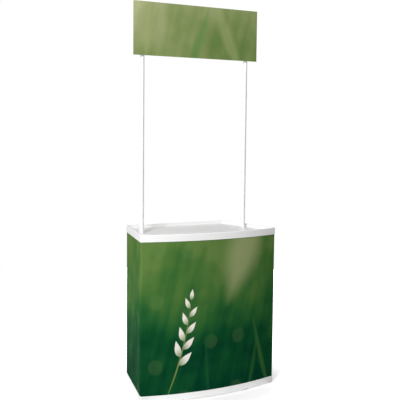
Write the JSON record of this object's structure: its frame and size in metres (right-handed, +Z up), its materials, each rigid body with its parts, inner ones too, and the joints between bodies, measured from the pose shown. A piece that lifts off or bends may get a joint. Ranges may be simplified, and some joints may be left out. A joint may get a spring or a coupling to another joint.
{
  "type": "promotion counter with header sign",
  "caption": "Knock-down demonstration counter: a bowed printed wall sheet between a moulded tray top and base, an inner shelf, and a rectangular header sign on poles.",
  "frame": {"origin": "centre of the bounding box, at floor level", "axes": "+X to the right as a customer sees the counter, -Y towards the customer (the bowed front), +Z up"},
  "size_m": [0.8652, 0.5146, 2.2175],
  "materials": {
    "white_plastic": "satin white moulded plastic",
    "white_sheet": "matt white plastic sheet",
    "white_tube": "satin white plastic tube",
    "wall_print": "satin film with a green print",
    "header_print": "satin film with a green print",
    "grey_plastic": "matt grey moulded plastic",
    "foam_tape": "matt foam tape",
    "rubber": "matt black rubber",
    "zinc_screw": "zinc-plated steel"
  },
  "bodies": {
    "counter": {"base_shell": "white_plastic", "base_pad_front_left": "rubber", "base_pad_front_right": "rubber", "base_pad_side_left": "rubber", "base_pad_side_right": "rubber", "base_pad_back_left": "rubber", "base_pad_back_right": "rubber", "base_socket_left": "grey_plastic", "base_socket_right": "grey_plastic", "base_socket_screw_left_1": "zinc_screw", "base_socket_screw_left_2": "zinc_screw", "base_socket_screw_right_1": "zinc_screw", "base_socket_screw_right_2": "zinc_screw", "column_left": "white_tube", "column_right": "white_tube", "shelf_collar_left": "grey_plastic", "shelf_collar_right": "grey_plastic", "collar_screw_left": "zinc_screw", "collar_screw_right": "zinc_screw", "rear_post_left": "white_tube", "rear_post_right": "white_tube", "shelf_bracket_left": "grey_plastic", "shelf_bracket_right": "grey_plastic", "bracket_screw_left": "zinc_screw", "bracket_screw_right": "zinc_screw", "wall_panel": "white_sheet", "wall_graphic": "wall_print", "panel_rivet_left_1": "white_plastic", "panel_rivet_left_2": "white_plastic", "panel_rivet_right_1": "white_plastic", "panel_rivet_right_2": "white_plastic"},
    "shelf": {"shelf": "white_plastic", "shelf_bush_left": "grey_plastic", "shelf_bush_right": "grey_plastic"},
    "top": {"top_tray": "white_plastic", "pole_socket_left": "grey_plastic", "pole_socket_right": "grey_plastic", "pole_socket_screw_left_1": "zinc_screw", "pole_socket_screw_left_2": "zinc_screw", "pole_socket_screw_right_1": "zinc_screw", "pole_socket_screw_right_2": "zinc_screw"},
    "sign": {"pole_lower_left": "white_tube", "pole_lower_right": "white_tube", "pole_upper_left": "white_tube", "pole_upper_right": "white_tube", "pole_joiner_left": "grey_plastic", "pole_joiner_right": "grey_plastic", "pole_cap_left": "white_plastic", "pole_cap_right": "white_plastic"},
    "header": {"header_board": "white_sheet", "header_graphic": "header_print", "header_clip_lower_left": "white_plastic", "header_clip_lower_right": "white_plastic", "header_clip_upper_left": "white_plastic", "header_clip_upper_right": "white_plastic", "clip_tape_lower_left": "foam_tape", "clip_tape_lower_right": "foam_tape", "clip_tape_upper_left": "foam_tape", "clip_tape_upper_right": "foam_tape"}
  },
  "joints": [
    {"name": "shelf_lift", "type": "slide", "parent": "counter", "child": "shelf", "axis": [0, 0, 1], "range_m": [0, 0.34]},
    {"name": "top_lift", "type": "slide", "parent": "counter", "child": "top", "axis": [0, 0, 1], "range_m": [0, 0.06]},
    {"name": "sign_lift", "type": "slide", "parent": "top", "child": "sign", "axis": [0, 0, 1], "range_m": [0, 0.08]},
    {"name": "header_slide", "type": "slide", "parent": "sign", "child": "header", "axis": [0, 0, 1], "range_m": [-0.97, 0]}
  ]
}
